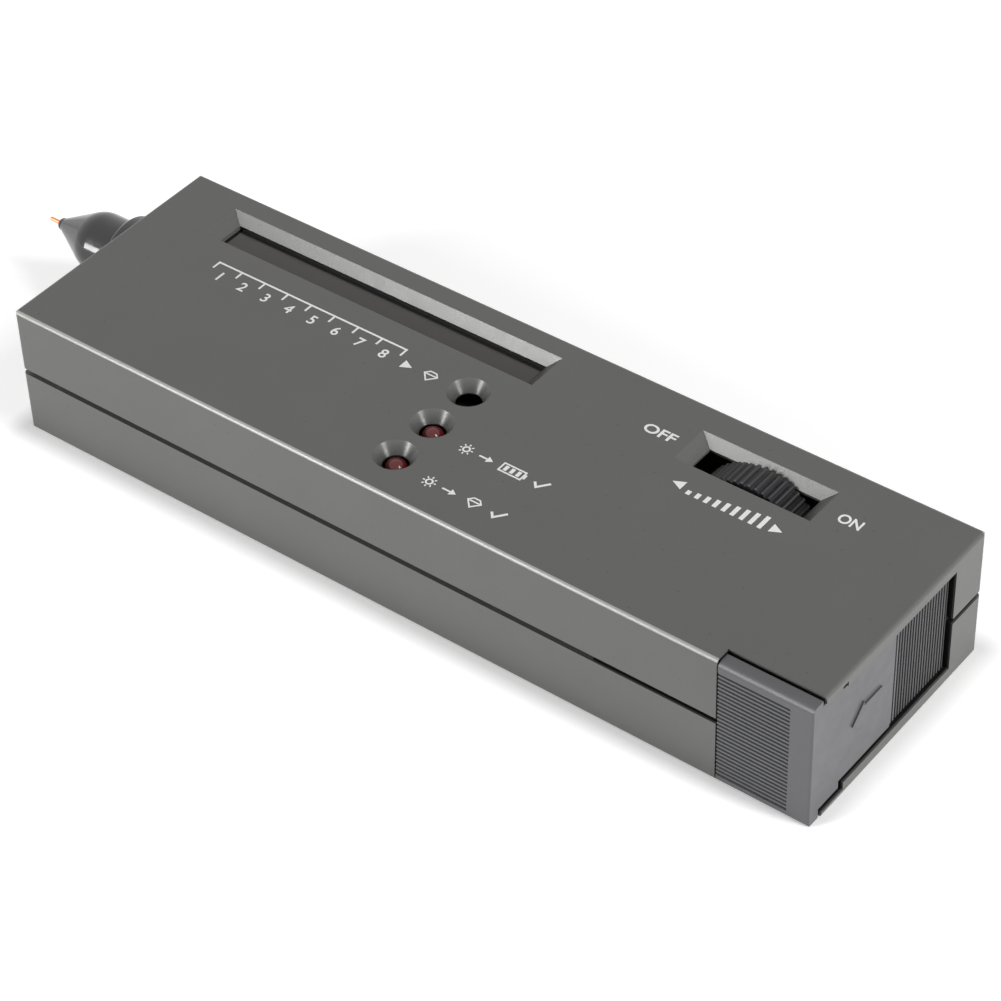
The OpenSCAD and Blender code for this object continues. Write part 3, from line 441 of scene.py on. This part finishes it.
def polyline(mesh, points, width=LINE_MM):
    """Line with mitred corners and square ends, closed where it comes back to its start."""
    line = [Vector(point) for point in points]
    closed = line[0] == line[-1]
    if closed:
        line.pop()
    count = len(line)
    edges = []
    for i, here in enumerate(line):
        first, last = not closed and i == 0, not closed and i == count - 1
        out = (line[(i + 1) % count] - here).normalized() if not last else None
        into = (here - line[i - 1]).normalized() if not first else out
        if last:
            out = into
        along = (into + out).normalized()
        across = Vector((-along.y, along.x))
        reach = width / 2 / across.dot(Vector((-out.y, out.x)))
        cap = along * width / 2 * (last - first)
        edges.append((here + cap + across * reach, here + cap - across * reach))
    for i in range(count if closed else count - 1):
        (left, right), (next_left, next_right) = edges[i], edges[(i + 1) % count]
        patch(mesh, [right, next_right, next_left, left])


def stroke(mesh, start, end, width=LINE_MM):
    polyline(mesh, [start, end], width)


def ring(mesh, centre, radius, width=LINE_MM, sides=32):
    inner, outer = radius - width / 2, radius + width / 2
    for i in range(sides):
        a, b = (2 * math.pi * k / sides for k in (i, i + 1))
        patch(mesh, [(centre[0] + r * math.cos(t), centre[1] + r * math.sin(t))
                     for r, t in ((inner, a), (outer, a), (outer, b), (inner, b))])


def lettering(mesh, words, centre, height, width=None, weight=0.0):
    """Plain capitals or figures, fitted to a height in mm and, where given, to a width."""
    curve = bpy.data.curves.new("lettering", "FONT")
    curve.body = words
    curve.offset = weight
    curve.resolution_u = 6
    holder = bpy.data.objects.new("lettering", curve)
    bpy.context.scene.collection.objects.link(holder)
    graph = bpy.context.evaluated_depsgraph_get()
    flat = bpy.data.meshes.new_from_object(holder.evaluated_get(graph))
    xs = [v.co.x for v in flat.vertices]
    ys = [v.co.y for v in flat.vertices]
    tall = height / (max(ys) - min(ys))
    wide = width / (max(xs) - min(xs)) if width else tall
    middle = Vector(((max(xs) + min(xs)) / 2, (max(ys) + min(ys)) / 2))
    for face in flat.polygons:
        corners = [flat.vertices[i].co for i in face.vertices]
        patch(mesh, [(centre[0] + (c.x - middle.x) * wide, centre[1] + (c.y - middle.y) * tall)
                     for c in corners])
    bpy.data.objects.remove(holder)
    bpy.data.curves.remove(curve)
    bpy.data.meshes.remove(flat)


def printed(name, draw):
    """Piece of ink on the panel, drawn by a function."""
    mesh = bmesh.new()
    draw(mesh)
    bmesh.ops.remove_doubles(mesh, verts=mesh.verts, dist=WELD)
    raised = bmesh.ops.extrude_face_region(mesh, geom=mesh.faces[:], use_keep_orig=True)["geom"]
    bmesh.ops.translate(mesh, verts=[v for v in raised if isinstance(v, bmesh.types.BMVert)],
                        vec=(0, 0, INK_THICKNESS))
    bmesh.ops.recalc_face_normals(mesh, faces=mesh.faces)
    data = bpy.data.meshes.new(name)
    mesh.to_mesh(data)
    mesh.free()
    data.materials.append(INK)
    piece = bpy.data.objects.new(name, data)
    bpy.context.scene.collection.objects.link(piece)
    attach(piece, "case")


SCALE_X, SCALE_Y = -59.65, 6.3
SCALE_PITCH = 5.01
SCALE_STEPS = 8
TICK_MM = 1.75
FIGURE_Y, FIGURE_MM = 3.4, 2.15


def scale_print(mesh):
    """Ruled line with ticks, and the figures 1 to 8 between them."""
    half = LINE_MM / 2
    last = SCALE_X + SCALE_PITCH * SCALE_STEPS
    comb = [(last + half, SCALE_Y + half), (SCALE_X - half, SCALE_Y + half)]
    for i in range(SCALE_STEPS + 1):
        x = SCALE_X + SCALE_PITCH * i
        root = SCALE_Y - half
        tip = SCALE_Y - TICK_MM
        comb += [(x - half, root)] if i else []
        comb += [(x - half, tip), (x + half, tip)]
        comb += [(x + half, root)] if i < SCALE_STEPS else []
    patch(mesh, comb)
    for i in range(SCALE_STEPS):
        lettering(mesh, str(i + 1), (SCALE_X + SCALE_PITCH * (i + 0.5), FIGURE_Y), FIGURE_MM, weight=0.012)


def triangle(mesh, tip_x, base_x, y, half=1.0):
    patch(mesh, [(tip_x, y), (base_x, y + half), (base_x, y - half)])


def gem(mesh, x, y, size):
    """Cut stone seen from the side: table, girdle and point."""
    table, girdle, crown = 0.55 * size, size, 0.35 * size
    top = y + 0.5 * size
    belt = top - crown
    point = (x, y - 0.5 * size)
    polyline(mesh, [point, (x - girdle / 2 - 0.2, belt), (x - table / 2, top), (x + table / 2, top),
                    (x + girdle / 2 + 0.2, belt), point], 0.26)
    stroke(mesh, (x - girdle / 2 + 0.2, belt), (x + girdle / 2 - 0.2, belt), 0.26)


def gem_print(mesh):
    triangle(mesh, -16.05, -17.95, 3.2)
    gem(mesh, -12.4, 3.2, 2.2)


def lamp_icon(mesh, x, y):
    ring(mesh, (x, y), 0.55, 0.3)
    for i in range(8):
        turn = Vector((math.cos(math.pi * i / 4), math.sin(math.pi * i / 4)))
        stroke(mesh, Vector((x, y)) + turn * 0.98, Vector((x, y)) + turn * 1.12, 0.24)


def battery_icon(mesh, x, y):
    half_l, half_w = 2.1, 0.92
    polyline(mesh, [(x - half_l, y - half_w), (x + half_l, y - half_w), (x + half_l, y + half_w),
                    (x - half_l, y + half_w), (x - half_l, y - half_w)], 0.28)
    stroke(mesh, (x + half_l + 0.34, y - 0.32), (x + half_l + 0.34, y + 0.32), 0.36)
    for i in range(3):
        stroke(mesh, (x - 1.2 + 1.2 * i, y - 0.28), (x - 1.2 + 1.2 * i, y + 0.28), 0.62)


def tick_icon(mesh, x, y):
    polyline(mesh, [(x - 0.95, y - 0.05), (x - 0.25, y - 0.85), (x + 1.15, y + 0.9)], 0.42)


def arrow_icon(mesh, x, y):
    stroke(mesh, (x - 1.1, y), (x + 0.1, y), 0.32)
    triangle(mesh, x + 1.4, x + 0.3, y, 0.7)


LEGEND_LAMP_X, LEGEND_ARROW_X = 3.4, 7.2
BATTERY_ROW_Y, READY_ROW_Y = -7.5, -16.9


def legend_start(mesh, y):
    """Lamp and arrow at the start of a row."""
    lamp_icon(mesh, LEGEND_LAMP_X, y)
    arrow_icon(mesh, LEGEND_ARROW_X, y)


def battery_legend(mesh):
    legend_start(mesh, BATTERY_ROW_Y)
    battery_icon(mesh, 12.4, BATTERY_ROW_Y)
    tick_icon(mesh, 17.8, BATTERY_ROW_Y)


def ready_legend(mesh):
    legend_start(mesh, READY_ROW_Y)
    gem(mesh, 12.0, READY_ROW_Y, 2.1)
    tick_icon(mesh, 16.6, READY_ROW_Y)


def switch_print(mesh):
    """OFF and ON at the ends of the wheel's recess."""
    lettering(mesh, "OFF", (25.75, 13.3), 2.1, 5.9, 0.02)
    lettering(mesh, "ON", (61.2, 13.1), 2.15, 4.1, 0.02)


BARS, BAR_X, BARS_LENGTH = 9, 37.4, 13.2
BAR_Y, BAR_LEAST, BAR_GROWTH, BAR_WIDTH = 4.2, 0.2, 2.1, 0.75


def volume_print(mesh):
    """Bars that grow from left to right, between two triangles."""
    triangle(mesh, 33.85, 35.9, 5.15)
    triangle(mesh, 54.15, 52.2, 5.05)
    for i in range(BARS):
        share = i / (BARS - 1)
        x = BAR_X + BARS_LENGTH * share
        stroke(mesh, (x, BAR_Y), (x, BAR_Y + BAR_LEAST + BAR_GROWTH * share), BAR_WIDTH)


# Stage, light and camera

FLOOR_SIZE = 8.0
FLOOR_GLOW = (0.16, 0.46)
GLOW_FROM, GLOW_TO = 0.8 * MM, 4.5 * MM
WORLD_FILL = 0.15


def seen_ray(nodes, links):
    """1 on rays from the camera and on mirrored or refracted rays, otherwise 0."""
    path = nodes.new("ShaderNodeLightPath")
    source = path.outputs["Is Camera Ray"]
    for name in ("Is Glossy Ray", "Is Transmission Ray"):
        most = nodes.new("ShaderNodeMath")
        most.operation = "MAXIMUM"
        links.new(source, most.inputs[0])
        links.new(path.outputs[name], most.inputs[1])
        source = most.outputs[0]
    return source


def paler_with_distance(nodes, links):
    """Glow of the floor: weak beside the case, where it paints a darker band along its foot, and white further off,
    where it paints out the rest of its cast shadow.
    """
    def step(operation, first, second):
        made = nodes.new("ShaderNodeVectorMath")
        made.operation = operation
        for socket, value in zip(made.inputs, (first, second)):
            if isinstance(value, bpy.types.NodeSocket):
                links.new(value, socket)
            else:
                socket.default_value = value
        return made.outputs["Value" if operation == "LENGTH" else "Vector"]

    place = nodes.new("ShaderNodeTexCoord").outputs["Object"]
    middle = (CASE_LOW + CASE_HIGH) / 2
    half = (CASE_HIGH - CASE_LOW) / 2
    offset = step("ABSOLUTE", step("SUBTRACT", place, (middle.x, middle.y, 0)), (0, 0, 0))
    outside = step("MAXIMUM", step("SUBTRACT", offset, (half.x, half.y, 0)), (0, 0, 0))
    away = step("LENGTH", outside, (0, 0, 0))
    spread = nodes.new("ShaderNodeMapRange")
    spread.inputs["From Min"].default_value = GLOW_FROM
    spread.inputs["From Max"].default_value = GLOW_TO
    spread.inputs["To Min"].default_value, spread.inputs["To Max"].default_value = FLOOR_GLOW
    links.new(away, spread.inputs["Value"])
    return spread.outputs[0]


def floor():
    data = bpy.data.meshes.new("floor")
    half = FLOOR_SIZE / 2
    data.from_pydata([(-half, -half, 0), (half, -half, 0), (half, half, 0), (-half, half, 0)], [], [(0, 1, 2, 3)])
    piece = bpy.data.objects.new("floor", data)
    bpy.context.scene.collection.objects.link(piece)
    piece.location.z = cad_box[0][2] - FLOOR_DROP
    material = bpy.data.materials.new("floor")
    material.use_nodes = True
    nodes, links = material.node_tree.nodes, material.node_tree.links
    nodes.clear()
    output = nodes.new("ShaderNodeOutputMaterial")
    plain = nodes.new("ShaderNodeBsdfDiffuse")
    plain.inputs["Color"].default_value = (0.9, 0.9, 0.9, 1)
    glow = nodes.new("ShaderNodeEmission")
    strength = nodes.new("ShaderNodeMath")
    strength.operation = "MULTIPLY"
    links.new(seen_ray(nodes, links), strength.inputs[0])
    links.new(paler_with_distance(nodes, links), strength.inputs[1])
    links.new(strength.outputs[0], glow.inputs["Strength"])
    both = nodes.new("ShaderNodeAddShader")
    links.new(plain.outputs[0], both.inputs[0])
    links.new(glow.outputs[0], both.inputs[1])
    links.new(both.outputs[0], output.inputs["Surface"])
    data.materials.append(material)


def world():
    made = bpy.data.worlds.new("studio")
    made.use_nodes = True
    bpy.context.scene.world = made
    nodes, links = made.node_tree.nodes, made.node_tree.links
    back = nodes["Background"]
    back.inputs["Color"].default_value = (1, 1, 1, 1)
    spread = nodes.new("ShaderNodeMapRange")
    spread.inputs["To Min"].default_value = WORLD_FILL
    spread.inputs["To Max"].default_value = 1.0
    links.new(seen_ray(nodes, links), spread.inputs["Value"])
    links.new(spread.outputs[0], back.inputs["Strength"])


LAMP_DISTANCE = 0.95
FLOOR_DROP = 0.02 * MM
SOFTBOXES = (
    ("key_softbox", (0.61, 0.086, 0.788), (0.16, 0.3), 2.6),
    ("right_softbox", (0.96, 0.06, 0.25), (0.25, 0.3), 6.4),
    ("low_softbox", (-0.468, -0.867, 0.17), (0.45, 0.25), 4.6),
    ("strip_softbox", (-0.468, -0.758, 0.452), (0.22, 0.35), 4),
)


def softbox(name, direction, size, watts):
    """Soft rectangular lamp that looks at the middle of the object."""
    light = bpy.data.lights.new(name, "AREA")
    light.shape = "RECTANGLE"
    light.size, light.size_y = size
    light.energy = watts
    piece = bpy.data.objects.new(name, light)
    bpy.context.scene.collection.objects.link(piece)
    towards = Vector(direction).normalized()
    piece.location = towards * LAMP_DISTANCE
    piece.rotation_euler = towards.to_track_quat("Z", "Y").to_euler()


def camera():
    data = bpy.data.cameras.new("camera")
    data.sensor_width = SENSOR_MM
    data.lens = FOCAL_MM
    data.clip_start = 0.01
    piece = bpy.data.objects.new("camera", data)
    bpy.context.scene.collection.objects.link(piece)
    level = math.cos(CAMERA_ELEVATION)
    forward = Vector((-math.sin(CAMERA_AZIMUTH) * level, math.cos(CAMERA_AZIMUTH) * level,
                      -math.sin(CAMERA_ELEVATION)))
    flat_right = Vector((math.cos(CAMERA_AZIMUTH), math.sin(CAMERA_AZIMUTH), 0))
    flat_up = flat_right.cross(forward)
    right = flat_right * math.cos(CAMERA_ROLL) + flat_up * math.sin(CAMERA_ROLL)
    up = right.cross(forward)
    turn = Matrix((right, up, -forward)).transposed().to_4x4()
    piece.matrix_world = Matrix.Translation(CAMERA_AT) @ turn
    bpy.context.scene.camera = piece


dress_nodes()
sprung_coil()
for draw in (scale_print, gem_print, battery_legend, ready_legend, switch_print, volume_print):
    printed(draw.__name__, draw)
floor()
world()
for lamp in SOFTBOXES:
    softbox(*lamp)
camera()
bpy.context.scene.view_settings.view_transform = "Standard"
